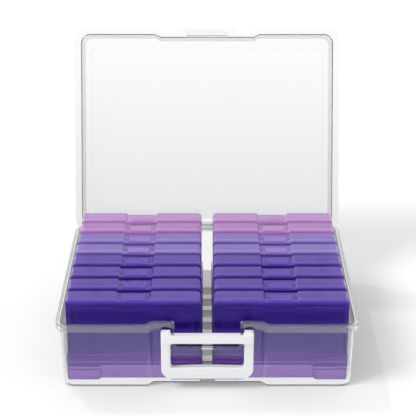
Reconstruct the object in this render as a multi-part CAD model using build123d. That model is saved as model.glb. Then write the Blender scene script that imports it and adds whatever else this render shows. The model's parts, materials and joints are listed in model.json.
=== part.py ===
"""Carrying box for photo cases: a clear tray and hinged lid, a folding handle that
locks the lid, and two rows of slim two-part cases standing on their long edges.

Millimetres. +X is the box's right, +Y its back, +Z up. The origin is the centre of the
underside of the tray. The model stands as it is used: lid open against its stop, handle
folded down, every case seated on the tray's floor.
"""

from build123d import *
import os
from math import atan2, cos, hypot, radians, tan

os.makedirs("parts", exist_ok=True)

# ---- tray -------------------------------------------------------------------------
RIM_WIDTH = 380.0          # over the rim, left to right
RIM_DEPTH = 292.0          # over the rim, front to back, as the lid's flange covers it
RIM_HEIGHT = 92.0          # floor underside to rim top
RIM_CORNER = 18.0          # plan radius of the rim's corners
WALL_CORNER = 13.0         # plan radius of the wall's corners, the same all the way down
RIM_OVERHANG = 5.0         # rim beyond the wall's outer face
RIM_THICKNESS = 2.0
SKIRT_HEIGHT = 8.5         # rim top to the skirt's lower edge
SKIRT_THICKNESS = 1.6
WALL = 2.0
FLOOR = 2.4
DRAFT = 0.7                # degrees, every moulded wall of the tray
FOOT_RADIUS = 4.0          # rounding where walls meet the floor, outside

RECESS_HALF = 66.0         # flat part of the front recess, at the rim
RECESS_DEPTH = 8.0
RECESS_JOG = 7.0           # width of the slanted step beside the recess
RECESS_RADIUS = 4.0

DIVIDER_HEIGHT = 10.5      # low cross ribs between the case rows, above the floor
DIVIDER_THICKNESS = 2.0

# ---- latch notch and handle ears ----------------------------------------------------
NOTCH_HALF = 41.6          # inside of the notch in the recess wall
NOTCH_BOTTOM = 57.0        # height of the notch's lower edge
NOTCH_RADIUS = 5.0
NOTCH_FRAME = 2.4          # wall of the frame round the notch
NOTCH_FRAME_REACH = 6.0    # frame in front of the recess wall
EAR_RADIUS = 4.0
EAR_ROOT = 13.0            # the ear's root reaches this far below the pivot
EAR_SIDE_CLEAR = 0.4       # ear in the handle's slot, each side
SNAP_MOUTH = 3.4           # the pin snaps in through this gap
SCALLOP_HALF = 9.5         # arch in the rim's skirt over each end of the handle
SCALLOP_RISE = 4.0

# ---- handle ---------------------------------------------------------------------------
HANDLE_WIDTH = 116.4
HANDLE_ARM = 12.0          # width of an arm
HANDLE_GRIP = 16.0         # height of the grip at its ends
HANDLE_BOW = 1.2           # the grip's inner edge rises this much at the centre
HANDLE_DEPTH = 8.0         # thickness of arms and grip
HANDLE_CORNER = 14.0
HANDLE_INNER_CORNER = 4.0
HANDLE_EDGE = 1.3          # bevel of the front edges
BAR_EDGE = 0.1             # bevel of the crossbar's long edges
HANDLE_FALL = 59.8         # pivot to the underside of the grip
HANDLE_TIP = 8.2           # pivot to the top of the arms
HANDLE_TIP_CORNER = 2.5
ARM_FRONT = 4.5            # front face of the arms, before the pivot
SWING_CLEAR = 0.5          # round what the handle sweeps
PIVOT_RADIUS = 2.2
PIVOT_CLEAR = 0.08         # radial, pin in ear and bead in clip
PIVOT_HEIGHT = 75.3        # handle pivot above the underside
PIVOT_FORWARD = 9.0        # pivot in front of the recess wall's face, at the rim
BAR_HEIGHT = 11.0          # crossbar
BAR_DEPTH = 8.5
BAR_PROUD = 3.5            # crossbar in front of the arms
GUSSET = 5.0

# ---- lid ------------------------------------------------------------------------------
LID_LAP = 1.5              # flange beyond the tray's rim
LID_SEAT = 0.15            # flange above the rim when shut
LID_FLANGE = 2.0
LID_WALL = 1.8
LID_RISE = 33.0            # flange top to the top of the lid
LID_DRAFT = 2.5
LID_EDGE = 5.0             # rounding of the lid's upper edges
LID_OPENING = 10.5         # flange edge to the lid's inner wall
LID_RECESS = 4.0           # the wall follows the front recess by this much
PANEL_STEP = 1.0           # raised panel of the lid
PANEL_SIDE = 8.0           # panel's border from the wall, at the sides
PANEL_FRONT = 10.0
PANEL_REAR = 22.0
PANEL_CORNER = 12.0
LID_OPEN = 112.4           # degrees from shut to the open stop
TAB_LAP = 3.0              # thumb tab over the notch's edge, each side
TAB_DRAFT = 1.2            # the tab narrows this much towards its free edge, each side
TONGUE_WIDTH = 59.0        # latch tongue under the tab
TONGUE_THICKNESS = 1.8
TONGUE_BEHIND = 6.6        # tongue's front face behind the handle's pivot
HOOK_BEHIND = 1.5          # hook's tip behind the handle's pivot
HOOK_DROP = 1.4            # hook's upper face below the pivot
HOOK_THICKNESS = 3.0

# ---- hinge ----------------------------------------------------------------------------
BEAD_RADIUS = 3.5          # round rear edge of the tray, the hinge pin of the lid
BEAD_DROP = 3.7            # hinge axis below the rim top
CLIP_WALL = 1.9
CLIP_WIDTH = 34.0
CLIP_CENTRE = 112.0        # each clip from the middle
CLIP_SIDE_CLEAR = 1.5
CLIP_WRAP = 205.0          # degrees of the bead that a clip holds
WINDOW_CLEAR = 1.0         # clip to the window it turns in

# ---- cases ------------------------------------------------------------------------------
ROWS = 8
CASE_WIDTH = 170.0
CASE_HEIGHT = 117.6
CASE_DEPTH = 25.0
CASE_FRONT_GAP = 1.6       # first row behind the recess wall's inner face
CASE_REAR_GAP = 13.652     # last row in front of the rear wall's inner face
AISLE = 15.3               # between the two rows of cases
CASE_WALL = 1.4
CASE_CORNER = 6.0
CASE_FOOT_CORNER = 2.0     # bevel
CASE_EDGE = 2.2            # bevel round the big faces
CASE_LID_DEPTH = 7.6       # front half of a case
FOOT_FLARE = 1.5           # the lower part is wider by this, each side
FOOT_FLARE_TOP = 38.0
FOOT_WIDTH = 40.0          # feet at the lower corners
FOOT_RISE = 2.9
DIP_HALF = 20.0            # dip for the snap tab in the upper edge
DIP_DEPTH = 2.6
CASE_PANEL_INSET = 10.0
CASE_PANEL_STEP = 0.8
SNAP_WIDTH = 29.0
SNAP_REACH = 8.0
SNAP_THICKNESS = 1.2

# ---- derived places ---------------------------------------------------------------------
HINGE_Y = RIM_DEPTH / 2 - RIM_OVERHANG + 0.5
HINGE_Z = RIM_HEIGHT - BEAD_DROP
RECESS_FACE = -RIM_DEPTH / 2 + RECESS_DEPTH + RIM_OVERHANG   # recess wall, outside, at the rim
PIVOT_Y = RECESS_FACE - PIVOT_FORWARD
HANDLE_SWING = hypot(ARM_FRONT + BAR_PROUD, BAR_HEIGHT / 2)   # reach of the crossbar
LID_PLANE = RIM_HEIGHT + LID_SEAT
DRAFT_SHIFT = RIM_HEIGHT * tan(radians(DRAFT))
FIRST_ROW_Y = RECESS_FACE + DRAFT_SHIFT + WALL + CASE_FRONT_GAP
LAST_ROW_Y = RIM_DEPTH / 2 - RIM_OVERHANG - DRAFT_SHIFT - WALL - CASE_REAR_GAP - CASE_DEPTH
CASE_PITCH = (LAST_ROW_Y - FIRST_ROW_Y) / (ROWS - 1)         # front to front
HINGE_AXIS = Axis((0, HINGE_Y, HINGE_Z), (1, 0, 0))


def outline(rear, grow=0.0, depth=RECESS_DEPTH, corner=None):
    """Plan shared by tray and lid: a rounded rectangle with a shallow recess in front.

    grow moves every side outwards by the same amount, the slanted steps included, and
    the corner radius grows with it unless one is given.
    """
    half = RIM_WIDTH / 2 + grow
    front = -RIM_DEPTH / 2 - grow
    slide = grow * tan(atan2(depth, RECESS_JOG) / 2)
    flat = RECESS_HALF - slide
    mouth = flat + RECESS_JOG
    corners = [
        (-half, rear), (-half, front), (-mouth, front), (-flat, front + depth),
        (flat, front + depth), (mouth, front), (half, front), (half, rear),
    ]
    face = make_face(Polyline(*corners, close=True))
    outer = [v for v in face.vertices() if abs(v.X) > mouth + 1]
    face = fillet(outer, corner or RIM_CORNER + grow)
    steps = [v for v in face.vertices() if abs(v.X) < mouth + 0.01]
    return fillet(steps, RECESS_RADIUS)


def rising(plan, low, high):
    """A plan pushed straight up from one height to another."""
    return extrude(Pos(0, 0, low) * plan, amount=high - low)


def moulded(levels, depth, corner):
    """Drafted form through the shared plan at rising heights, each grown by its own amount."""
    rear = RIM_DEPTH / 2
    plans = [Pos(0, 0, z) * outline(rear + grow, grow, depth, corner) for z, grow in levels]
    return loft(plans, ruled=True)


def cup(low, high, base, slope, radius):
    """Levels of a drafted wall that turns through a rounded foot into a flat underside."""
    part = radius * (1 - cos(radians(45)))
    return [(low, base - radius), (low + part, base - part), (low + radius, base),
            (high, base + (high - low) * slope)]


def dome(low, high, base, slope, radius):
    """Levels of a drafted wall that turns over a rounded edge into a flat top."""
    part = radius * (1 - cos(radians(45)))
    lean = (high - low) * slope
    return [(low, base), (high - radius, base - lean), (high - part, base - lean - part),
            (high, base - lean - radius)]


def block(x0, x1, y0, y1, z0, z1):
    """Axis-aligned block between two corners."""
    centre = ((x0 + x1) / 2, (y0 + y1) / 2, (z0 + z1) / 2)
    return Pos(*centre) * Box(x1 - x0, y1 - y0, z1 - z0)


def along_x(profile, x0, x1):
    """A profile drawn in (y, z), pushed from x0 to x1."""
    plane = Plane(origin=(x0, 0, 0), x_dir=(0, 1, 0), z_dir=(1, 0, 0))
    return extrude(plane * profile, amount=x1 - x0)


def along_y(profile, y0, y1):
    """A profile drawn in (x, z), pushed back from y0 to y1."""
    plane = Plane(origin=(0, y0, 0), x_dir=(1, 0, 0), z_dir=(0, -1, 0))
    return extrude(plane * profile, amount=y0 - y1)


def rod(y, z, radius, x0, x1):
    """Round bar along X."""
    return along_x(Pos(y, z) * Circle(radius), x0, x1)


def notch_profile(grow):
    """The latch notch in (x, z), open at the top, with rounded lower corners."""
    low = NOTCH_BOTTOM - grow
    high = RIM_HEIGHT + 10
    half = NOTCH_HALF + grow
    face = Pos(0, (low + high) / 2) * Rectangle(2 * half, high - low)
    lower = face.vertices().group_by(Axis.Y)[0]
    return fillet(lower, NOTCH_RADIUS + grow)


def ear(x0, x1):
    """Snap ear that holds a handle pin, reaching forward from the notch's frame."""
    frame_y = RECESS_FACE - NOTCH_FRAME_REACH
    low = PIVOT_HEIGHT - EAR_ROOT
    root = Polyline(
        (PIVOT_Y, PIVOT_HEIGHT + EAR_RADIUS), (frame_y + 1, PIVOT_HEIGHT + EAR_RADIUS),
        (frame_y + 1, low), (PIVOT_Y - EAR_RADIUS * 0.8, PIVOT_HEIGHT - EAR_RADIUS * 0.6),
        close=True,
    )
    boss = Pos(PIVOT_Y, PIVOT_HEIGHT) * Circle(EAR_RADIUS)
    bore = Pos(PIVOT_Y, PIVOT_HEIGHT) * Circle(PIVOT_RADIUS + PIVOT_CLEAR)
    mouth = Pos(PIVOT_Y, PIVOT_HEIGHT - EAR_ROOT / 2) * Rectangle(SNAP_MOUTH, EAR_ROOT)
    return along_x(make_face(root) + boss - bore - mouth, x0, x1)


def hinge_windows():
    """Gaps in the tray's rear wall where the lid's clips turn round the bead."""
    reach = BEAD_RADIUS + CLIP_WALL + WINDOW_CLEAR
    half = CLIP_WIDTH / 2 + CLIP_SIDE_CLEAR
    return [
        block(x - half, x + half, HINGE_Y - reach, HINGE_Y + reach,
              HINGE_Z - reach, RIM_HEIGHT + 1)
        for x in (-CLIP_CENTRE, CLIP_CENTRE)
    ]


def make_tray():
    slope = tan(radians(DRAFT))
    outside = -RIM_OVERHANG - DRAFT_SHIFT
    shell = moulded(cup(0, RIM_HEIGHT, outside, slope, FOOT_RADIUS), RECESS_DEPTH,
                    WALL_CORNER)
    inside = outside - WALL + FLOOR * slope
    cavity = moulded([(FLOOR, inside), (RIM_HEIGHT + 1, inside + (RIM_HEIGHT + 1 - FLOOR) * slope)],
                     RECESS_DEPTH, WALL_CORNER - WALL)

    rim = outline(HINGE_Y)
    rim_inner = outline(HINGE_Y - SKIRT_THICKNESS, -SKIRT_THICKNESS)
    skirt_low = RIM_HEIGHT - SKIRT_HEIGHT
    skirt = rising(rim - rim_inner, skirt_low, RIM_HEIGHT)
    skirt -= block(-RIM_WIDTH, RIM_WIDTH, HINGE_Y - RIM_CORNER, HINGE_Y + 1,
                   skirt_low - 1, RIM_HEIGHT)
    for side in (-1, 1):
        x = side * (HANDLE_WIDTH - HANDLE_ARM) / 2
        radius = (SCALLOP_HALF ** 2 + SCALLOP_RISE ** 2) / (2 * SCALLOP_RISE)
        arch = Pos(x, skirt_low + SCALLOP_RISE - radius) * Circle(radius)
        skirt -= along_y(arch, RECESS_FACE - RIM_OVERHANG - 1, RECESS_FACE - 0.5)
    flange = rising(rim, RIM_HEIGHT - RIM_THICKNESS, RIM_HEIGHT)
    frame = along_y(notch_profile(NOTCH_FRAME), RECESS_FACE - NOTCH_FRAME_REACH,
                    RECESS_FACE + WALL)
    frame -= block(-RIM_WIDTH, RIM_WIDTH, -RIM_DEPTH, RIM_DEPTH,
                   RIM_HEIGHT, RIM_HEIGHT + 20)
    swing = rod(PIVOT_Y, PIVOT_HEIGHT, HANDLE_SWING + SWING_CLEAR,
                -HANDLE_WIDTH / 2 - 1.5, HANDLE_WIDTH / 2 + 1.5)
    swing &= block(-HANDLE_WIDTH, HANDLE_WIDTH, -RIM_DEPTH, RECESS_FACE - 0.4,
                   PIVOT_HEIGHT - EAR_ROOT, RIM_HEIGHT)
    tray = shell + flange + (skirt + frame - swing) - cavity
    tray -= along_y(notch_profile(0), -RIM_DEPTH, RECESS_FACE + 3 * WALL)

    floor_plan = outline(RIM_DEPTH / 2 + inside + WALL / 2, inside + WALL / 2)
    for row in range(1, ROWS):
        y = FIRST_ROW_Y + row * CASE_PITCH - (CASE_PITCH - CASE_DEPTH) / 2
        strip = Pos(0, y) * Rectangle(RIM_WIDTH, DIVIDER_THICKNESS)
        tray += rising(floor_plan & strip, FLOOR - 0.5, FLOOR + DIVIDER_HEIGHT)
    for side in (-1, 1):
        near, far = sorted((side * NOTCH_HALF, side * (NOTCH_HALF + NOTCH_FRAME)))
        tray += ear(near, far)
    for window in hinge_windows():
        tray -= window
    bead_half = RIM_WIDTH / 2 - RIM_CORNER - BEAD_RADIUS
    return tray + rod(HINGE_Y, HINGE_Z, BEAD_RADIUS, -bead_half, bead_half)


def make_handle():
    """Closed ring with a thicker crossbar, drawn about its pivot."""
    half = HANDLE_WIDTH / 2
    inner = half - HANDLE_ARM
    grip_top = HANDLE_GRIP - HANDLE_FALL
    body = Pos(0, (HANDLE_TIP - HANDLE_FALL) / 2) * Rectangle(2 * half,
                                                             HANDLE_TIP + HANDLE_FALL)
    body = fillet(body.vertices().group_by(Axis.Y)[0], HANDLE_CORNER)
    body = fillet(body.vertices().group_by(Axis.Y)[-1], HANDLE_TIP_CORNER)
    sill = ThreePointArc((-inner, grip_top), (0, grip_top + HANDLE_BOW), (inner, grip_top))
    top = HANDLE_TIP + 5
    sides = Polyline((inner, grip_top), (inner, top), (-inner, top), (-inner, grip_top))
    window = make_face(sill + sides)
    window = fillet(window.vertices().group_by(Axis.Y)[0], HANDLE_INNER_CORNER)
    front = -ARM_FRONT
    ring = along_y(body - window, front, front + HANDLE_DEPTH)
    ring = chamfer(ring.edges().group_by(Axis.Y)[0], HANDLE_EDGE)

    bar = block(-half, half, front - BAR_PROUD, front - BAR_PROUD + BAR_DEPTH,
                -BAR_HEIGHT / 2, BAR_HEIGHT / 2)
    ends = bar.edges().filter_by(Axis.Z).group_by(Axis.Y)[0]
    bar = fillet(ends, BAR_PROUD - BAR_EDGE)
    bar = chamfer(bar.edges().group_by(Axis.Z)[0] + bar.edges().group_by(Axis.Z)[-1],
                  BAR_EDGE)
    handle = ring + bar
    for side in (-1, 1):
        low = -BAR_HEIGHT / 2
        corner = Polyline((side * inner, low - GUSSET), (side * (inner + 1), low - GUSSET),
                          (side * (inner + 1), low + 1), (side * (inner - GUSSET), low + 1),
                          (side * (inner - GUSSET), low), close=True)
        handle += along_y(make_face(corner), front + HANDLE_EDGE, front + HANDLE_DEPTH)
        slot = sorted((side * (NOTCH_HALF - EAR_SIDE_CLEAR),
                       side * (NOTCH_HALF + NOTCH_FRAME + EAR_SIDE_CLEAR)))
        handle -= block(slot[0], slot[1], -EAR_RADIUS - SWING_CLEAR, HANDLE_DEPTH,
                        -BAR_HEIGHT - GUSSET, BAR_HEIGHT)
        pin = sorted((side * (NOTCH_HALF - 1), side * (inner + 1)))
        handle += rod(0, 0, PIVOT_RADIUS, pin[0], pin[1])
    return Pos(0, PIVOT_Y, PIVOT_HEIGHT) * handle


def hinge_clip():
    """C-shaped clip that snaps round the tray's rear bead."""
    inner = BEAD_RADIUS + PIVOT_CLEAR
    middle = inner + CLIP_WALL / 2
    start = 95.0
    path = CenterArc((0, 0), middle, start, -CLIP_WRAP)
    profile = trace(path, CLIP_WALL)
    return Pos(HINGE_Y, HINGE_Z) * profile


def lid_shell():
    """Flange, walls and top of the shut lid, before its latch and clips are added."""
    rear = RIM_DEPTH / 2
    top = LID_PLANE + LID_FLANGE + LID_RISE
    slope = tan(radians(LID_DRAFT))
    lean = LID_RISE * slope
    inset = LID_OPENING - LID_LAP
    flange = rising(outline(rear + LID_LAP, LID_LAP), LID_PLANE, LID_PLANE + LID_FLANGE)
    outer = moulded(dome(LID_PLANE, top, LID_WALL - inset, slope, LID_EDGE), LID_RECESS,
                     WALL_CORNER)
    inner = moulded(dome(LID_PLANE, top - LID_WALL, -inset, slope, LID_EDGE - LID_WALL),
                    LID_RECESS, WALL_CORNER - LID_WALL)
    half = RIM_WIDTH / 2 - inset - lean - PANEL_SIDE
    front = -rear + inset + lean + LID_RECESS + PANEL_FRONT
    back = rear - inset - lean - PANEL_REAR
    middle = Pos(0, (front + back) / 2)
    panel = middle * RectangleRounded(2 * half, back - front, PANEL_CORNER)
    hollow = middle * RectangleRounded(2 * half - 2 * PANEL_STEP,
                                       back - front - 2 * PANEL_STEP,
                                       PANEL_CORNER - PANEL_STEP)
    raised = rising(panel, top - LID_WALL / 2, top + PANEL_STEP)
    sunk = rising(hollow, top - 2 * LID_WALL, top - LID_WALL + PANEL_STEP)
    shell = flange + outer + raised - inner - sunk
    above = block(-RIM_WIDTH, RIM_WIDTH, -RIM_DEPTH, RIM_DEPTH, top - LID_EDGE,
                  top + 2 * PANEL_STEP)
    return shell - above, shell & above


def make_lid():
    """The lid open against its stop: flange with walls, and the top from its rounded edge."""
    rear = RIM_DEPTH / 2
    lid, crown = lid_shell()
    edge = -rear - LID_LAP
    root = edge + RECESS_DEPTH
    tab_half = NOTCH_HALF + TAB_LAP
    tab = make_face(Polyline((-tab_half, root + 1), (-tab_half + TAB_DRAFT, edge),
                             (tab_half - TAB_DRAFT, edge), (tab_half, root + 1), close=True))
    lid += rising(tab, LID_PLANE, LID_PLANE + LID_FLANGE)

    tongue_half = TONGUE_WIDTH / 2
    tongue_y = PIVOT_Y + TONGUE_BEHIND
    hook_top = PIVOT_HEIGHT - HOOK_DROP
    lid += block(-tongue_half, tongue_half, tongue_y, tongue_y + TONGUE_THICKNESS,
                 hook_top - HOOK_THICKNESS, LID_PLANE + LID_FLANGE / 2)
    tip = PIVOT_Y + HOOK_BEHIND
    hook = make_face(Polyline((tip, hook_top), (tongue_y + 0.5, hook_top),
                              (tongue_y + 0.5, hook_top - HOOK_THICKNESS),
                              (tip + HOOK_THICKNESS / 2, hook_top - HOOK_THICKNESS),
                              close=True))
    lid += along_x(hook, -tongue_half, tongue_half)
    for x in (-CLIP_CENTRE, CLIP_CENTRE):
        lid += along_x(hinge_clip(), x - CLIP_WIDTH / 2, x + CLIP_WIDTH / 2)
    return [piece.rotate(HINGE_AXIS, -LID_OPEN) for piece in (lid, crown)]


def case_top():
    """Right half of a case's upper edge in (x, z), from the outer corner to the dip."""
    return [(CASE_WIDTH / 2, CASE_HEIGHT), (DIP_HALF + DIP_DEPTH, CASE_HEIGHT),
            (DIP_HALF, CASE_HEIGHT - DIP_DEPTH)]


def mirrored(right):
    """Closed face from its right half's corners, given from the bottom up."""
    return make_face(Polyline(*right, *[(-x, z) for x, z in reversed(right)], close=True))


def case_front():
    """Front view of a case: feet, flared lower part, rounded shoulders and the dip."""
    half = CASE_WIDTH / 2
    foot = half + FOOT_FLARE
    foot_in = foot - FOOT_WIDTH
    face = mirrored([
        (foot_in - FOOT_RISE, FOOT_RISE), (foot_in, 0), (foot, 0), (foot, FOOT_FLARE_TOP),
        (half, FOOT_FLARE_TOP + FOOT_FLARE), *case_top(),
    ])
    lowest, highest = face.vertices().group_by(Axis.Y)[0], face.vertices().group_by(Axis.Y)[-1]
    face = chamfer([v for v in lowest if abs(v.X) > half], CASE_FOOT_CORNER)
    return fillet([v for v in highest if abs(v.X) > DIP_HALF * 2], CASE_CORNER)


def case_inside(inset):
    """The same view without feet and flare, every side moved in by inset."""
    face = mirrored([(CASE_WIDTH / 2, FOOT_RISE), *case_top()])
    return offset(face, amount=-inset, kind=Kind.INTERSECTION)


def make_case():
    """One case seen from the front, its front face at y = 0: the body and its lid."""
    face = case_front()
    hollow = case_inside(CASE_WALL)
    shoulders = [v for v in hollow.vertices().group_by(Axis.Y)[-1] if abs(v.X) > DIP_HALF * 2]
    hollow = chamfer(shoulders, CASE_CORNER / 2)
    body = along_y(face, CASE_LID_DEPTH, CASE_DEPTH)
    body -= along_y(hollow, CASE_LID_DEPTH - 1, CASE_DEPTH - CASE_WALL)

    lid = along_y(face, CASE_PANEL_STEP, CASE_LID_DEPTH)
    lid = chamfer(lid.edges().group_by(Axis.Y)[0], CASE_EDGE)
    lid += along_y(case_inside(CASE_PANEL_INSET), 0, CASE_LID_DEPTH / 2)
    lid -= along_y(hollow, CASE_PANEL_STEP + CASE_WALL, CASE_LID_DEPTH + 1)
    lid -= along_y(case_inside(CASE_PANEL_INSET + CASE_WALL), CASE_WALL, CASE_LID_DEPTH)
    dip = CASE_HEIGHT - DIP_DEPTH
    lid += block(-SNAP_WIDTH / 2, SNAP_WIDTH / 2, CASE_PANEL_STEP + CASE_EDGE,
                 CASE_LID_DEPTH + SNAP_REACH, dip, dip + SNAP_THICKNESS)
    return body, lid


def write(part, name):
    """One STEP file for each piece."""
    solids = part.solids()
    if len(solids) != 1:
        raise ValueError(f"{name}: {len(solids)} solids")
    export_step(solids[0], f"parts/{name}.step")


def main():
    write(make_tray(), "tray")
    lid, crown = make_lid()
    write(lid, "lid")
    write(crown, "lid_top")
    write(make_handle(), "handle")
    body, cover = make_case()
    for side, name in ((-1, "left"), (1, "right")):
        x = side * (AISLE + CASE_WIDTH) / 2
        for row in range(ROWS):
            place = Pos(x, FIRST_ROW_Y + row * CASE_PITCH, FLOOR)
            write(place * body, f"case_{name}_{row + 1}_body")
            write(place * cover, f"case_{name}_{row + 1}_lid")


if __name__ == "__main__":
    main()
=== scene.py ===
"""The looks of a photo case box: clear tray and lid, white handle, sixteen tinted cases.

The file is laid out as an add-on and run as a script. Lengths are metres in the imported
model's frame: +X is the box's right, +Y its back, +Z up.
"""

import json
from math import cos, radians, sin

import bmesh
import bpy
from bpy.props import FloatProperty, FloatVectorProperty, IntProperty, PointerProperty
from mathutils import Matrix, Vector


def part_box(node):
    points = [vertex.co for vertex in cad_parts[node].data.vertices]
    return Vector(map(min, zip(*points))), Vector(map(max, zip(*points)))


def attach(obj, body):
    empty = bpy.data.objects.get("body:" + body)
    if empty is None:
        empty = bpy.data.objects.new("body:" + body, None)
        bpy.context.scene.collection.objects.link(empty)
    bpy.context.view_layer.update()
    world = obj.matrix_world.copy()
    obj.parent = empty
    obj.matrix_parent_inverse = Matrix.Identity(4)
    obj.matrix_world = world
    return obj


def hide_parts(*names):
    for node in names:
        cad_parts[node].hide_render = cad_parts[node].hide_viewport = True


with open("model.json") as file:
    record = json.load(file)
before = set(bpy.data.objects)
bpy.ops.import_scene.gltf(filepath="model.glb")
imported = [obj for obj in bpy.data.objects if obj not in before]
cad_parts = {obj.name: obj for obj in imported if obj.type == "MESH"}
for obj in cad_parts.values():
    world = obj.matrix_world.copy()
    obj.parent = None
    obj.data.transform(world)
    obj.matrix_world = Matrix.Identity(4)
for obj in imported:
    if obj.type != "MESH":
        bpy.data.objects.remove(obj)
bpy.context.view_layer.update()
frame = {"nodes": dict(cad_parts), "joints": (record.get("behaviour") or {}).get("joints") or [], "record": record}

bl_info = {
    "name": "Photo Case Box",
    "version": (1, 0, 0),
    "blender": (4, 5, 0),
    "location": "View3D > Sidebar > Photo Box",
    "description": "Dresses a clear carrying box and its sixteen tinted photo cases",
    "category": "Object",
}

MM = 0.001
TOUCH = 0.01 * MM           # corners closer than this are one and the same
FLAT = radians(0.4)         # faces that turn by less than this are one flat
ROUND_FROM = radians(30)    # edges that turn by more than this get rounded
SHARP_FROM = radians(35)    # edges that turn by more than this stay sharp in the shading
ROWS = 8
SIDES = ("left", "right")
LID_OPEN = radians(-next(j for j in frame["joints"] if j["name"] == "lid_hinge")["range_deg"][0])


def linear(hex_colour, alpha=1.0):
    """An sRGB hex colour as linear RGBA."""
    parts = [int(hex_colour[i:i + 2], 16) / 255 for i in (0, 2, 4)]
    parts = [c / 12.92 if c <= 0.04045 else ((c + 0.055) / 1.055) ** 2.4 for c in parts]
    return (*parts, alpha)


def size(name, description, millimetres):
    """A length that the panel shows, given in millimetres."""
    return FloatProperty(name=name, description=description, default=millimetres * MM,
                         min=0.0, unit="LENGTH", precision=4)


def colour(name, description, hex_colour):
    """A colour that the panel shows."""
    return FloatVectorProperty(name=name, description=description, subtype="COLOR", size=4,
                               min=0.0, max=1.0, default=linear(hex_colour))


def share(name, description, value):
    """A part of one that the panel shows as a slider."""
    return FloatProperty(name=name, description=description, default=value, min=0.0,
                         max=1.0, subtype="FACTOR")


def angle(name, description, degrees):
    """An angle that the panel shows, given in degrees."""
    return FloatProperty(name=name, description=description, default=radians(degrees),
                         subtype="ANGLE")


def brightness(name, description, value):
    """How strongly a lamp shines."""
    return FloatProperty(name=name, description=description, default=value, min=0.0)


def direction(name, description, towards):
    """A direction that the panel shows as a vector."""
    return FloatVectorProperty(name=name, description=description, default=towards,
                               subtype="DIRECTION")


# ---- what a user would change ------------------------------------------------------------

class ShellSettings(bpy.types.PropertyGroup):
    """Tray and lid, one clear plastic."""
    tone: colour("Tone", "Colour of the clear plastic", "FBFBFC")
    milk: colour("Milk", "Colour of the light that it scatters", "D2D3D8")
    haze: share("Haze", "Light that the milky plastic scatters instead of passing", 0.01)
    rim_haze: share("Rim haze", "The same in the rim", 0.14)
    rim_height: size("Rim height", "Height at which the rim is milkiest", 85.0)
    rim_soft: size("Rim soft", "Height over which the wall turns milky below that", 4.0)
    rim_band: size("Rim band", "Height over which it stays so", 8.0)
    # Painted shade: up to this height the open lid's lower part is left milky, and so darker.
    painted_shade_end: size("Clear height", "Height at which the open lid is clear again", 300.0)
    edge_haze: share("Edge haze", "What edges seen at a slant scatter beyond the walls", 0.4)
    slant: share("Slant", "Turned away by this, a surface starts to look like an edge", 0.45)
    full_slant: share("Full slant", "Turned away by this, it is at its whitest", 0.95)
    aisle_haze: share("Aisle haze", "What the frosted floor between the stacks scatters", 0.35)
    aisle_half: size("Aisle half", "Half the width of the frosted floor", 9.0)
    aisle_top: size("Aisle top", "Height of the frosted floor's ribs", 18.0)
    aisle_soft: size("Aisle soft", "How gradually the frost ends", 1.0)
    roughness: share("Roughness", "Blur of what is seen through a wall", 0.03)
    cloud: size("Cloud", "Size of the patches that differ in blur", 60.0)
    ripple: size("Ripple", "Distance between the ripples of the moulded surface", 9.0)
    ripple_depth: size("Ripple depth", "Depth of the ripples", 0.2)
    edge: size("Edge", "Rounding of the moulded edges", 0.45)
    weld: size("Weld", "Steps shorter than this give way to the rounding", 0.5)


class HandleSettings(bpy.types.PropertyGroup):
    """The white folding handle."""
    tone: colour("Tone", "Colour of the handle", "F2F3F4")
    roughness: share("Roughness", "Roughness of the satin surface", 0.32)
    patch: size("Patch", "Size of the patches that differ in roughness", 20.0)
    grain: size("Grain", "Distance between the grains of the satin surface", 0.8)
    grain_depth: size("Grain depth", "Depth of the grains", 0.05)
    edge: size("Edge", "Rounding of the handle's edges", 1.5)
    weld: size("Weld", "Steps shorter than this give way to the rounding", 0.8)


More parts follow.
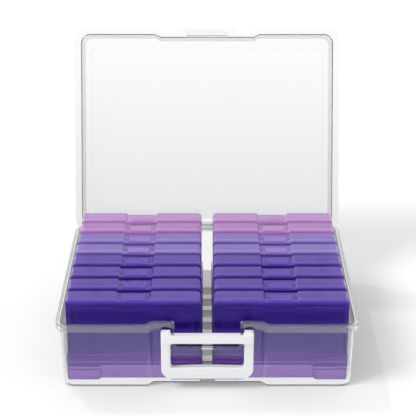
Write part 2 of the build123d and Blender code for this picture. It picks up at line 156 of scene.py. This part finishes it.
class CaseSettings(bpy.types.PropertyGroup):
    """The sixteen cases, all one shape in three tints."""
    orchid: colour("Orchid", "Tint of the two rear rows", "F6D8FF")
    lavender: colour("Lavender", "Tint of the two rows before them", "D8CCFC")
    purple: colour("Purple", "Tint of the four front rows", "D2B4E8")
    orchid_gloss: colour("Orchid gloss", "What the orchid plastic sends back", "F0B8EC")
    lavender_gloss: colour("Lavender gloss", "What the lavender plastic sends back", "A888F8")
    purple_gloss: colour("Purple gloss", "What the purple plastic sends back", "5528FF")
    # Painted light: these milk colours are what the upper edges turn to, lighter than the gloss, standing in for
    # light that falls in from above.
    orchid_painted_glow: colour("Orchid milk", "Glow inside the orchid plastic", "F2C8FF")
    lavender_painted_glow: colour("Lavender milk", "Glow inside the lavender plastic", "D0B8FC")
    purple_painted_glow: colour("Purple milk", "Glow inside the purple plastic", "8C70EA")
    haze: share("Haze", "Light that the tinted plastic scatters", 0.06)
    # Painted light: a case's upper edges get this much more haze, down to this depth, which lightens them as light
    # falling in from above would.
    body_painted_glow: share("Body haze", "The same at the body's upper edge, which gathers light", 0.4)
    cover_painted_glow: share("Cover haze", "The same at the cover's upper edge", 0.65)
    painted_glow_depth: size("Glow depth", "How far down the upper edges glow", 9.0)
    sheen: share("Sheen", "Soft velvet of the tinted surface", 0.1)
    shine: share("Shine", "Share of plain white gloss", 0.2)
    roughness: share("Roughness", "Blur of what is seen through a case", 0.05)
    cloud: size("Cloud", "Size of the patches that differ in blur", 50.0)
    frost: size("Frost", "Distance between the grains of the frosted surface", 3.0)
    frost_depth: size("Frost depth", "Depth of the grains", 0.1)
    wall: size("Wall", "Thickness of a case's walls", 1.4)
    edge: size("Edge", "Rounding round the big faces", 2.2)
    shoulder: size("Shoulder", "Radius of the upper corners", 6.0)
    foot_corner: size("Foot corner", "Radius of the lower corners", 2.0)
    flare: size("Flare", "How much wider the lower part is, each side", 1.5)
    flare_top: size("Flare top", "Height at which the flare ends", 38.0)
    foot_width: size("Foot width", "Width of the foot at each lower corner", 40.0)
    foot_rise: size("Foot rise", "Height of the raised middle between the feet", 2.9)
    dip_half: size("Dip half", "Half the width of the dip in the upper edge", 20.0)
    dip_depth: size("Dip depth", "Depth of the dip in the upper edge", 2.6)
    panel_inset: size("Panel inset", "Border round the raised front panel", 10.0)
    panel_step: size("Panel step", "Height of the raised front panel", 0.8)
    panel_edge: size("Panel edge", "Rounding of the raised front panel", 0.48)
    seam: size("Seam", "Air between body and lid, and under the feet", 0.1)
    groove: size("Groove", "Bevel that the seam between body and lid shows", 0.35)
    tab_width: size("Tab width", "Width of the snap tab in the dip", 29.0)
    tab_reach: size("Tab reach", "How far the snap tab laps over the body", 8.0)
    tab_thickness: size("Tab thickness", "Thickness of the snap tab", 1.2)
    tab_edge: size("Tab edge", "Rounding of the snap tab", 0.3)


class StageSettings(bpy.types.PropertyGroup):
    """Floor, light and camera."""
    floor_tone: colour("Floor", "Colour of the floor", "F4F4F4")
    floor_lift: share("Floor lift", "Glow that the camera sees on the floor", 0.07)
    floor_glow: share("Floor glow", "Brightness of the floor seen through clear plastic", 1.0)
    floor_reach: size("Floor reach", "Half the side of the floor", 30000.0)
    floor_gap: size("Floor gap", "Air between the floor and the box", 0.2)
    room: share("Room", "Strength of the light from all round", 0.72)
    sun: brightness("Sun", "Strength of the big soft lamp", 1.3)
    sun_angle: angle("Sun size", "Apparent size of the soft lamp", 24)
    sun_from: direction("Sun from", "Where the soft lamp shines from", (-0.75, -0.3, 0.88))
    glint: brightness("Glint", "Strength of the small lamp that draws edges", 0.3)
    glint_angle: angle("Glint size", "Apparent size of the small lamp", 2)
    glint_from: direction("Glint from", "Where the small lamp shines from", (-0.35, 0.45, 0.8))
    bounces: IntProperty(name="Bounces", default=28, min=4,
                         description="Light must pass two faces of every clear wall")
    lens: FloatProperty(name="Lens", description="Focal length for a 36 mm wide picture",
                        default=104.2, min=1.0, unit="CAMERA")
    distance: size("Distance", "Camera in front of the box's middle", 1432.2)
    height: size("Height", "Camera above the floor", 863.3)
    sideways: FloatProperty(name="Sideways", description="Camera right of the box's middle",
                            default=-2.388 * MM, unit="LENGTH", precision=4)
    pitch: angle("Pitch", "Camera looks down by this", 25.305)
    yaw: angle("Yaw", "Camera looks to the right by this", 0.135)
    roll: angle("Roll", "Camera tilts anticlockwise by this", 0.059)


# ---- shared making --------------------------------------------------------------------------

def add(tree, kind, links=(), **settings):
    """Adds a node; links are (from socket, input's name or number), and settings are values
    of inputs or, where it has no such input, of the node itself."""
    node = tree.nodes.new(kind)
    for key, value in settings.items():
        name = key.replace("_", " ")
        socket = next((s for s in node.inputs if s.name.lower() == name), None)
        if socket is not None:
            socket.default_value = value
        elif hasattr(node, key):
            setattr(node, key, value)
        else:
            raise KeyError(f"{kind} has no {key}")
    for source, name in links:
        tree.links.new(source, node.inputs[name])
    return node


def new_material(name):
    """An empty material and its node tree."""
    material = bpy.data.materials.new(name)
    material.use_nodes = True
    material.node_tree.nodes.clear()
    return material, material.node_tree


def surface(tree, shader):
    """Sends a shader to the material's surface."""
    add(tree, "ShaderNodeOutputMaterial", [(shader.outputs[0], "Surface")])


def mixed(tree, first, second, factor):
    """Mix of two shaders by a share or by a socket."""
    mix = add(tree, "ShaderNodeMixShader", [(first.outputs[0], 1), (second.outputs[0], 2)])
    if isinstance(factor, bpy.types.NodeSocket):
        tree.links.new(factor, mix.inputs["Fac"])
    else:
        mix.inputs["Fac"].default_value = factor
    return mix


def finished(name, mesh, body, slot, material, *replaced):
    """Object of a finished piece, tied to its body and the nodes it stands for; the slot is not used."""
    mesh.name = name
    obj = bpy.data.objects.new(name, mesh)
    bpy.context.scene.collection.objects.link(obj)
    mesh.materials.clear()
    mesh.materials.append(material)
    mesh.shade_smooth()
    mesh.set_sharp_from_angle(angle=SHARP_FROM)
    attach(obj, body)
    if replaced:
        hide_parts(*replaced)
    return obj


def soften(obj, width):
    """Rounds a piece's sharp edges, as far as its short edges leave room."""
    bevel = obj.modifiers.new("soft edges", "BEVEL")
    bevel.width = width
    bevel.segments = 3
    bevel.limit_method = "ANGLE"
    bevel.angle_limit = ROUND_FROM
    bevel.use_clamp_overlap = True
    bevel.harden_normals = True


def flat_faces(obj):
    """Keeps large flats flat in the shading beside their rounded edges."""
    even = obj.modifiers.new("flat faces", "WEIGHTED_NORMAL")
    even.keep_sharp = True
    even.weight = 100


def merged_copy(nodes, weld, seam_normal=None):
    """The shapes of the named nodes as one mesh of welded, flat-faced polygons.

    Corners closer than weld become one, so that tiny steps don't hinder the rounding.
    Where two nodes of one moulding meet on a plane across seam_normal, the faces between
    them are taken out.
    """
    bm = bmesh.new()
    for node in nodes:
        bm.from_mesh(frame["nodes"][node].data)
    if seam_normal is not None:
        upper = frame["nodes"][nodes[-1]].data
        level = min(seam_normal.dot(v.co) for v in upper.vertices)
        inner = [f for f in bm.faces
                 if all(abs(seam_normal.dot(v.co) - level) < 2 * TOUCH for v in f.verts)]
        bmesh.ops.delete(bm, geom=inner, context="FACES")
    for distance in (TOUCH, weld):
        bmesh.ops.remove_doubles(bm, verts=bm.verts, dist=distance)
        bmesh.ops.dissolve_limit(bm, angle_limit=FLAT, verts=bm.verts, edges=bm.edges)
    return to_mesh(bm, nodes[0])


def outline_face(bm, corners, place):
    """A flat face through corners (u, v, setback); a setback rounds its corner."""
    verts = [bm.verts.new(place(u, v)) for u, v, _ in corners]
    bm.faces.new(verts)
    for vert, (_, _, setback) in zip(verts, corners):
        if setback > 0:
            bmesh.ops.bevel(bm, geom=[vert], offset=setback, offset_type="OFFSET",
                            segments=5, profile=0.5, affect="VERTICES", material=-1)
    bm.faces.ensure_lookup_table()
    return bm.faces[0]


def pushed(bm, face, shift):
    """Pushes a face of a solid along a shift, with new walls behind it."""
    far = bmesh.ops.extrude_discrete_faces(bm, faces=[face])["faces"][0]
    bmesh.ops.translate(bm, verts=far.verts[:], vec=shift)
    return far


def rounded(bm, edges, radius, segments=4):
    """Rounds a run of edges."""
    bmesh.ops.bevel(bm, geom=edges, offset=radius, offset_type="OFFSET", segments=segments,
                    profile=0.5, affect="EDGES", clamp_overlap=True, material=-1)


def to_mesh(bm, name):
    """The finished mesh of what was modelled."""
    mesh = bpy.data.meshes.new(name)
    bm.to_mesh(mesh)
    bm.free()
    return mesh


# ---- materials ------------------------------------------------------------------------------

def skin(tree, grain, depth, strength, patch, details, roughness, spread):
    """What every moulded surface has: fine grains that break up its highlights, and a
    roughness that differs a little from patch to patch.

    Returns the place on the piece, and the links that the surface's shaders share.
    """
    place = add(tree, "ShaderNodeTexCoord").outputs["Object"]
    fine, broad = [add(tree, "ShaderNodeTexNoise", [(place, "Vector")], scale=1 / distance,
                       detail=detail) for distance, detail in zip((grain, patch), details)]
    bump = add(tree, "ShaderNodeBump", [(fine.outputs["Fac"], "Height")],
               strength=strength, distance=depth)
    blur = add(tree, "ShaderNodeMapRange", [(broad.outputs["Fac"], "Value")],
               to_min=roughness * spread[0], to_max=roughness * spread[1])
    return place, [(bump.outputs["Normal"], "Normal"), (blur.outputs["Result"], "Roughness")]


def clear_polypropylene(s):
    """Clarified polypropylene, injection moulded: clear but slightly milky, softly blurring
    what stands behind a wall, with the faint ripples of a big thin moulding. The rim is
    thicker and looks whiter, and so does every edge seen at a slant. The floor between the
    stacks is lightly frosted."""
    material, tree = new_material("clear polypropylene, moulded")
    place, finish = skin(tree, s.ripple, s.ripple_depth, 0.03, s.cloud, (2.0, 3.0),
                         s.roughness, (0.8, 1.25))
    where = add(tree, "ShaderNodeSeparateXYZ", [(place, "Vector")])

    # The rim is milky. Painted shade: above the rim the open lid stays milky low down, which darkens it, and
    # clears with its height, standing in for the shaded floor seen behind it.
    rim = add(tree, "ShaderNodeMapRange", [(where.outputs["Z"], "Value")],
              interpolation_type="SMOOTHSTEP", from_min=s.rim_height - s.rim_soft,
              from_max=s.rim_height, to_min=s.haze, to_max=s.rim_haze)
    lid_painted_shade = add(tree, "ShaderNodeMapRange", [(where.outputs["Z"], "Value")],
               from_min=s.rim_height + s.rim_band, from_max=s.painted_shade_end,
               to_min=1.0, to_max=0.0)
    walls = add(tree, "ShaderNodeMath", [(rim.outputs["Result"], 0), (lid_painted_shade.outputs["Result"], 1)],
                operation="MULTIPLY")

    # The floor and its ribs are frosted between the stacks.
    aside = add(tree, "ShaderNodeMath", [(where.outputs["X"], 0)], operation="ABSOLUTE")
    aisle = add(tree, "ShaderNodeMapRange", [(aside.outputs[0], "Value")],
                from_min=s.aisle_half, from_max=s.aisle_half + s.aisle_soft,
                to_min=s.aisle_haze, to_max=0.0)
    low = add(tree, "ShaderNodeMapRange", [(where.outputs["Z"], "Value")],
              from_min=s.aisle_top, from_max=s.aisle_top + 2 * s.aisle_soft,
              to_min=1.0, to_max=0.0)
    floor = add(tree, "ShaderNodeMath", [(aisle.outputs["Result"], 0), (low.outputs["Result"], 1)],
                operation="MULTIPLY")
    faces = add(tree, "ShaderNodeMath", [(walls.outputs[0], 0), (floor.outputs[0], 1)],
                operation="ADD")

    # Faces turned away from the eye, as edges are, scatter more.
    turned = add(tree, "ShaderNodeLayerWeight", blend=0.5)
    edges = add(tree, "ShaderNodeMapRange", [(turned.outputs["Facing"], "Value")],
                from_min=s.slant, from_max=s.full_slant, to_min=0.0, to_max=s.edge_haze)
    haze = add(tree, "ShaderNodeMath", [(faces.outputs[0], 0), (edges.outputs["Result"], 1)],
               operation="ADD", use_clamp=True)

    clear = add(tree, "ShaderNodeBsdfPrincipled", finish,
                base_color=s.tone, ior=1.49, transmission_weight=1.0)
    back = add(tree, "ShaderNodeBsdfDiffuse", finish[:1], color=s.milk)
    through = add(tree, "ShaderNodeBsdfTranslucent", finish[:1], color=s.milk)
    milk = mixed(tree, back, through, 0.5)
    surface(tree, mixed(tree, clear, milk, haze.outputs[0]))
    return material


def tinted_polypropylene(s, name, tint, gloss, glow, painted_glow_haze, top):
    """Dyed polypropylene, injection moulded: see-through, deeper where walls overlap, with a soft gloss. Painted
    light: the upper edges are made milkier and lighter by height alone, standing in for light that falls in from
    above."""
    material, tree = new_material(name)
    place, finish = skin(tree, s.frost, s.frost_depth, 0.02, s.cloud, (3.0, 2.0),
                         s.roughness, (0.8, 1.25))
    clear = add(tree, "ShaderNodeBsdfPrincipled", finish,
                base_color=tint, ior=1.49, transmission_weight=1.0, specular_tint=gloss,
                sheen_weight=s.sheen, sheen_roughness=0.6, sheen_tint=gloss,
                coat_weight=s.shine, coat_roughness=0.12)
    where = add(tree, "ShaderNodeSeparateXYZ", [(place, "Vector")])
    # Painted light: towards the upper edge the milk turns from the gloss colour to the lighter glow colour, and
    # the haze grows.
    rise = add(tree, "ShaderNodeMapRange", [(where.outputs["Z"], "Value")],
               interpolation_type="SMOOTHSTEP", from_min=top - s.painted_glow_depth, from_max=top)
    shade = add(tree, "ShaderNodeMix", [(rise.outputs["Result"], 0)], data_type="RGBA")
    low_colour, high_colour = shade.inputs[6:8]
    low_colour.default_value = gloss
    high_colour.default_value = glow
    back = add(tree, "ShaderNodeBsdfPrincipled", [*finish, (shade.outputs[2], "Base Color")],
               ior=1.49)
    through = add(tree, "ShaderNodeBsdfTranslucent", finish[:1], color=tint)
    milk = mixed(tree, back, through, 0.5)
    haze = add(tree, "ShaderNodeMapRange", [(rise.outputs["Result"], "Value")],
               to_min=s.haze, to_max=painted_glow_haze)
    surface(tree, mixed(tree, clear, milk, haze.outputs["Result"]))
    return material


def white_abs(s):
    """White ABS, injection moulded with a satin texture: soft broad highlights and a very
    fine grain that shows only where light rakes over it."""
    material, tree = new_material("white ABS, satin moulded")
    _, finish = skin(tree, s.grain, s.grain_depth, 0.12, s.patch, (2.0, 3.0),
                     s.roughness, (0.85, 1.2))
    surface(tree, add(tree, "ShaderNodeBsdfPrincipled", finish, base_color=s.tone, ior=1.54))
    return material


# ---- pieces ---------------------------------------------------------------------------------

class PHOTOBOX_OT_shell(bpy.types.Operator):
    """Make the clear tray and lid"""
    bl_idname = "photobox.shell"
    bl_label = "Clear Tray and Lid"

    def execute(self, context):
        s = context.scene.photobox_shell
        plastic = clear_polypropylene(s)
        tray = finished("tray_moulding", merged_copy(["tray"], s.weld), "tray",
                        "clear_shell", plastic, "tray")
        lid_up = Vector((0, sin(LID_OPEN), cos(LID_OPEN)))
        lid = finished("lid_moulding", merged_copy(["lid", "lid_top"], s.weld, lid_up), "lid",
                       "clear_shell", plastic, "lid", "lid_top")
        for piece in (tray, lid):
            soften(piece, s.edge)
            flat_faces(piece)
        return {"FINISHED"}


class PHOTOBOX_OT_handle(bpy.types.Operator):
    """Make the white folding handle"""
    bl_idname = "photobox.handle"
    bl_label = "Folding Handle"

    def execute(self, context):
        s = context.scene.photobox_handle
        handle = finished("handle_moulding", merged_copy(["handle"], s.weld), "handle",
                          "white_handle", white_abs(s), "handle")
        soften(handle, s.edge)
        flat_faces(handle)
        return {"FINISHED"}


def measures(s, node):
    """Middle, underside, half width above the flare, and height of a case's node."""
    lo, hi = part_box(node)
    return (hi.x + lo.x) / 2, lo.z, (hi.x - lo.x) / 2 - s.flare, hi.z - lo.z


def case_outline(s, half, height):
    """Front view of a case as corners (x, z, setback), from the middle of the foot up."""
    foot = half + s.flare
    foot_in = foot - s.foot_width
    right = [
        (foot_in - s.foot_rise, s.foot_rise, 0),
        (foot_in, s.seam, 0),
        (foot, s.seam, s.foot_corner),
        (foot, s.flare_top, 0),
        (half, s.flare_top + s.flare, 0),
        (half, height, s.shoulder),
        (s.dip_half + s.dip_depth, height, 0),
        (s.dip_half, height - s.dip_depth, 0),
    ]
    return right + [(-x, z, setback) for x, z, setback in reversed(right)]


def case_prism(s, node, y0, y1):
    """Solid half of a case between two depths, with its front and its back face."""
    centre, foot, half, height = measures(s, node)
    bm = bmesh.new()
    back = outline_face(bm, case_outline(s, half, height),
                        lambda u, v: Vector((centre + u, y1, foot + v)))
    bm.normal_update()
    made = bmesh.ops.extrude_face_region(bm, geom=[back])["geom"]
    front = next(g for g in made if isinstance(g, bmesh.types.BMFace))
    bmesh.ops.translate(bm, verts=front.verts[:], vec=(0, y0 - y1, 0))
    bmesh.ops.recalc_face_normals(bm, faces=bm.faces)
    return bm, front, back


def hollowed(bm, face, wall, depth):
    """Leaves a wall of even thickness round a face and sinks the rest of it."""
    bmesh.ops.inset_region(bm, faces=[face], thickness=wall, use_even_offset=True)
    return pushed(bm, face, depth)


def case_body(s, node):
    """Rear half: a deep tray, open towards its lid."""
    lo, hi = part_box(node)
    seam = lo.y + s.seam / 2
    bm, front, back = case_prism(s, node, seam, hi.y)
    lip = front.edges[:]
    rim = back.edges[:]
    hollowed(bm, front, s.wall, Vector((0, hi.y - seam - s.wall, 0)))
    rounded(bm, rim, s.edge)
    rounded(bm, lip, s.groove, 2)
    return bm


def stepped_panel(bm, flat, corners, shift, edge):
    """Moves the part of a flat face inside a closed run of corners by a shift."""
    around = flat.edges[:]
    # The bridge is made from well ahead of the flat, so that it joins the nearest corners.
    ahead = flat.normal * 10 * shift.length
    bmesh.ops.delete(bm, geom=[flat], context="FACES_ONLY")
    verts = [bm.verts.new(corner + ahead) for corner in corners]
    border = [bm.edges.new(pair) for pair in zip(verts, verts[1:] + verts[:1])]
    bmesh.ops.bridge_loops(bm, edges=around + border)
    bmesh.ops.translate(bm, verts=verts, vec=-ahead)
    panel = pushed(bm, bm.faces.new(verts), shift)
    rounded(bm, panel.edges[:], edge, 2)


def panel_corners(s, half, height, inset):
    """Outline of a case's panel: straight below, with the dip above."""
    right = [(half - inset, s.foot_rise + inset), (half - inset, height - inset),
             (s.dip_half + s.dip_depth, height - inset),
             (s.dip_half, height - s.dip_depth - inset)]
    return right + [(-x, z) for x, z in reversed(right)]


def snap_tab(bm, low, high, edge):
    """Flat tongue with rounded edges between two corners."""
    made = bmesh.ops.create_cube(bm, size=1.0)["verts"]
    reach = high - low
    bmesh.ops.scale(bm, vec=reach, verts=made)
    bmesh.ops.translate(bm, vec=(low + high) / 2, verts=made)
    rounded(bm, list({e for v in made for e in v.link_edges}), edge, 2)


def case_cover(s, node, body_node):
    """Front half: a shallow tray with the raised panel and its snap tab."""
    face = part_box(node)[0].y + s.panel_step
    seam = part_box(body_node)[0].y - s.seam / 2
    bm, front, back = case_prism(s, node, face, seam)
    lip = back.edges[:]
    rim = front.edges[:]
    hollowed(bm, back, s.wall, Vector((0, face + s.wall - seam, 0)))
    rounded(bm, rim, s.edge)
    rounded(bm, lip, s.groove, 2)

    centre, foot, half, height = measures(s, node)
    dip = foot + height - s.dip_depth
    step = Vector((0, -s.panel_step, 0))
    bm.normal_update()
    for y, inset in ((face + s.wall, s.panel_inset + s.wall), (face, s.panel_inset)):
        flat = max((f for f in bm.faces if abs(f.calc_center_median().y - y) < TOUCH),
                   key=lambda f: f.calc_area())
        stepped_panel(bm, flat, [Vector((centre + x, y, foot + z))
                                 for x, z in panel_corners(s, half, height, inset)],
                      step, s.panel_edge)
    snap_tab(bm, Vector((centre - s.tab_width / 2, face + s.edge, dip + s.seam / 2)),
             Vector((centre + s.tab_width / 2, seam + s.tab_reach, dip + s.tab_thickness)),
             s.tab_edge)
    bmesh.ops.recalc_face_normals(bm, faces=bm.faces)
    return bm


class PHOTOBOX_OT_cases(bpy.types.Operator):
    """Make the sixteen tinted cases"""
    bl_idname = "photobox.cases"
    bl_label = "Tinted Cases"

    def execute(self, context):
        s = context.scene.photobox_cases
        tints = {"orchid_case": (s.orchid, s.orchid_gloss, s.orchid_painted_glow),
                 "lavender_case": (s.lavender, s.lavender_gloss, s.lavender_painted_glow),
                 "purple_case": (s.purple, s.purple_gloss, s.purple_painted_glow)}
        slots = {p["node"]: p["material_slot"] for p in frame["record"]["subparts"]}
        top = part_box("case_left_1_body")[1].z
        plastics = {}
        for slot, shades in tints.items():
            # Each part gets its own painted glow at its upper edge.
            for part, painted_glow_haze in (("body", s.body_painted_glow), ("cover", s.cover_painted_glow)):
                name = f"{slot.split('_')[0]} polypropylene, moulded case {part}"
                plastics[slot, part] = tinted_polypropylene(s, name, *shades, painted_glow_haze, top)
        for side in SIDES:
            for row in range(1, ROWS + 1):
                case = f"case_{side}_{row}"
                body, cover = f"{case}_body", f"{case}_lid"
                slot = slots[body]
                for piece, shape, part, node in (
                        (f"{case}_tub", case_body(s, body), "body", body),
                        (f"{case}_cover", case_cover(s, cover, body), "cover", cover)):
                    flat_faces(finished(piece, to_mesh(shape, node), case, slot,
                                        plastics[slot, part], node))
        return {"FINISHED"}


class PHOTOBOX_OT_stage(bpy.types.Operator):
    """Make the floor, the light and the camera"""
    bl_idname = "photobox.stage"
    bl_label = "Stage"

    def execute(self, context):
        s = context.scene.photobox_stage
        scene = context.scene
        scene.view_settings.view_transform = "Standard"
        scene.cycles.max_bounces = scene.cycles.transmission_bounces = s.bounces
        scene.cycles.transparent_max_bounces = s.bounces
        self.floor(context, s)
        self.light(context, s)
        self.camera(context, s)
        return {"FINISHED"}

    def floor(self, context, s):
        """Matt white paper that looks evenly white through the clear plastic."""
        bm = bmesh.new()
        bmesh.ops.create_grid(bm, x_segments=1, y_segments=1, size=s.floor_reach)
        mesh = to_mesh(bm, "floor")
        floor = bpy.data.objects.new("floor", mesh)
        context.scene.collection.objects.link(floor)
        floor.location.z = -s.floor_gap
        material, tree = new_material("studio floor, matt paper")
        path = add(tree, "ShaderNodeLightPath")
        lift = add(tree, "ShaderNodeMath", [(path.outputs["Is Camera Ray"], 0)],
                   operation="MULTIPLY")
        lift.inputs[1].default_value = s.floor_lift
        paper = add(tree, "ShaderNodeBsdfPrincipled", [(lift.outputs[0], "Emission Strength")],
                    base_color=s.floor_tone, roughness=0.9, specular_ior_level=0.0,
                    emission_color=(1, 1, 1, 1))
        glow = add(tree, "ShaderNodeEmission", color=(1, 1, 1, 1), strength=s.floor_glow)
        seen = add(tree, "ShaderNodeMath", [(path.outputs["Is Glossy Ray"], 0),
                                            (path.outputs["Is Transmission Ray"], 1)],
                   operation="MAXIMUM")
        surface(tree, mixed(tree, paper, glow, seen.outputs[0]))
        mesh.materials.append(material)

    def light(self, context, s):
        """White room, a big soft lamp and a small one; what the plastic shows is pure white."""
        world = bpy.data.worlds.new("studio")
        context.scene.world = world
        world.use_nodes = True
        tree = world.node_tree
        tree.nodes.clear()
        path = add(tree, "ShaderNodeLightPath")
        room = add(tree, "ShaderNodeBackground", color=(1, 1, 1, 1), strength=s.room)
        white = add(tree, "ShaderNodeBackground", color=(1, 1, 1, 1), strength=1.0)
        sky = mixed(tree, white, room, path.outputs["Is Diffuse Ray"])
        add(tree, "ShaderNodeOutputWorld", [(sky.outputs[0], "Surface")])
        for name, energy, width, origin in (("soft key", s.sun, s.sun_angle, s.sun_from),
                                            ("glint", s.glint, s.glint_angle, s.glint_from)):
            lamp = bpy.data.lights.new(name, "SUN")
            lamp.energy = energy
            lamp.angle = width
            holder = bpy.data.objects.new(name, lamp)
            context.scene.collection.objects.link(holder)
            holder.rotation_euler = Vector(origin).to_track_quat("Z", "Y").to_euler()

    def camera(self, context, s):
        """Front view from above the box's middle."""
        data = bpy.data.cameras.new("camera")
        data.sensor_fit = "HORIZONTAL"
        data.sensor_width = 36.0
        data.lens = s.lens
        data.clip_end = 100.0
        camera = bpy.data.objects.new("camera", data)
        context.scene.collection.objects.link(camera)
        camera.location = (s.sideways, -s.distance, s.height)
        turn = (Matrix.Rotation(-s.yaw, 4, "Z") @ Matrix.Rotation(radians(90) - s.pitch, 4, "X")
                @ Matrix.Rotation(s.roll, 4, "Z"))
        camera.rotation_euler = turn.to_euler()
        context.scene.camera = camera


class PHOTOBOX_PT_panel(bpy.types.Panel):
    """A button and its settings for each step"""
    bl_idname = "PHOTOBOX_PT_panel"
    bl_label = "Photo Box"
    bl_space_type = "VIEW_3D"
    bl_region_type = "UI"
    bl_category = "Photo Box"

    def draw(self, context):
        for operator, name, settings in STEPS:
            box = self.layout.box()
            box.operator(operator.bl_idname)
            for key in settings.__annotations__:
                box.prop(getattr(context.scene, name), key)


STEPS = (
    (PHOTOBOX_OT_shell, "photobox_shell", ShellSettings),
    (PHOTOBOX_OT_handle, "photobox_handle", HandleSettings),
    (PHOTOBOX_OT_cases, "photobox_cases", CaseSettings),
    (PHOTOBOX_OT_stage, "photobox_stage", StageSettings),
)
CLASSES = (*(settings for _, _, settings in STEPS), *(operator for operator, _, _ in STEPS),
           PHOTOBOX_PT_panel)


def register():
    for cls in CLASSES:
        bpy.utils.register_class(cls)
    for _, name, settings in STEPS:
        setattr(bpy.types.Scene, name, PointerProperty(type=settings))


def unregister():
    for _, name, _ in STEPS:
        delattr(bpy.types.Scene, name)
    for cls in reversed(CLASSES):
        bpy.utils.unregister_class(cls)


def main():
    register()
    for operator, _, _ in STEPS:
        group, name = operator.bl_idname.split(".")
        getattr(getattr(bpy.ops, group), name)()


if __name__ == "__main__":
    main()
